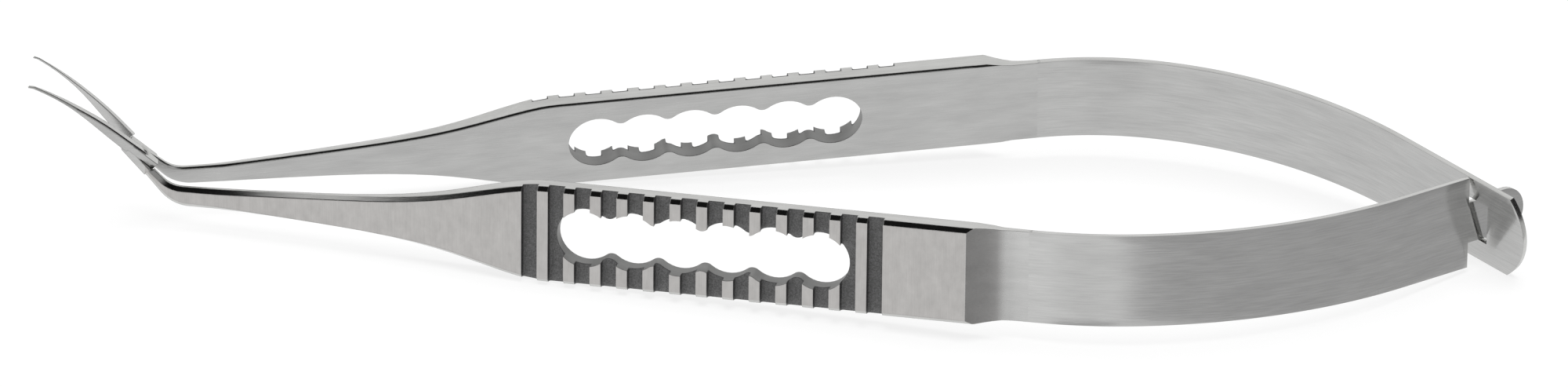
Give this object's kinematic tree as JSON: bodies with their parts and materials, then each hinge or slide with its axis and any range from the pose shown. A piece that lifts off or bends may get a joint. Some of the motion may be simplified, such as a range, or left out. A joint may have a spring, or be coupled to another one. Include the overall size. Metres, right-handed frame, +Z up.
{
  "type": "capsulorhexis forceps",
  "caption": "Cross-action eye-surgery forceps with fine hooked tips, slotted and grooved finger grips, and bowed leaf springs that interlock at the rear.",
  "frame": {"origin": "centre of the bounding box's base, on the surface that the forceps lie on with their tips open", "axes": "+X from the tips to the rear, +Z up, XZ is the mid-plane between the two halves"},
  "size_m": [0.1094, 0.0274, 0.0119],
  "materials": {
    "arm_steel": "satin brushed, grooves bead-blasted",
    "leaf_steel": "fine lengthwise brushing",
    "rivet_steel": "satin"
  },
  "bodies": {
    "left_half": {"left_arm": "arm_steel", "pivot_rivet": "rivet_steel"},
    "right_half": {"right_arm": "arm_steel"},
    "left_leaf": {"left_spring": "leaf_steel"},
    "right_leaf": {"right_spring": "leaf_steel"}
  },
  "joints": [
    {"name": "jaw_pivot", "type": "hinge", "parent": "left_half", "child": "right_half", "pos_m": [-0.04676, 0, 0.0052], "axis": [-0.7159, 0, -0.6982], "range_deg": [0, 22.4], "stiffness_Nm_per_rad": 0.05},
    {"name": "left_leaf_flex", "type": "hinge", "parent": "left_half", "child": "left_leaf", "pos_m": [0.0186, -0.01256, 0.00515], "axis": [0.0126, -0.1421, -0.9898], "range_deg": [0, 23.2]},
    {"name": "right_leaf_flex", "type": "hinge", "parent": "right_half", "child": "right_leaf", "pos_m": [0.0186, 0.01256, 0.00515], "axis": [-0.0126, -0.1421, 0.9898], "range_deg": [0, 23.2]}
  ],
  "couplings": [
    {"joint": "left_leaf_flex", "follows": "jaw_pivot", "ratio": 1.0308},
    {"joint": "right_leaf_flex", "follows": "jaw_pivot", "ratio": 1.0308}
  ]
}
